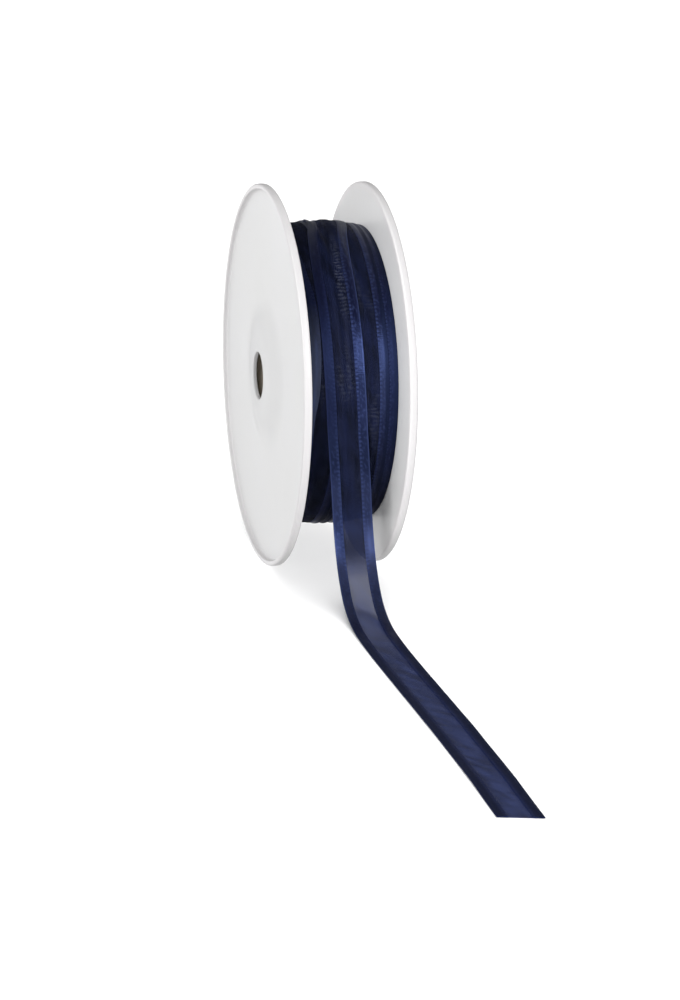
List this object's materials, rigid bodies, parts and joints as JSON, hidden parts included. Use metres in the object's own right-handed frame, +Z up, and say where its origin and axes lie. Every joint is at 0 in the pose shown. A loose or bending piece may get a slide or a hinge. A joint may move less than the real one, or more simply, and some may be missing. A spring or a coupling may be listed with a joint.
{
  "type": "roll of satin-edge organza ribbon on a two-flange reel",
  "caption": "Roll of narrow sheer ribbon with satin edges wound on a white flanged reel, its loose end run down the front and out along the table.",
  "frame": {"origin": "middle of the whole thing's footprint, reel and loose end together, on the surface it stands on", "axes": "+Z up, X along the reel's axle, -Y the way the loose end runs out"},
  "size_m": [0.0308, 0.2453, 0.0988],
  "materials": {
    "white_plastic": "white moulded plastic, soft gloss",
    "paperboard": "uncoated grey-brown paperboard",
    "wound_ribbon": "navy woven ribbon, satin edge bands and plain organza between",
    "loose_ribbon": "navy woven ribbon, satin edge bands and sheer organza between"
  },
  "bodies": {
    "root": {"flange_left": "white_plastic", "flange_right": "white_plastic", "core_tube": "paperboard", "ribbon_roll": "wound_ribbon", "ribbon_tail": "loose_ribbon"}
  },
  "joints": []
}
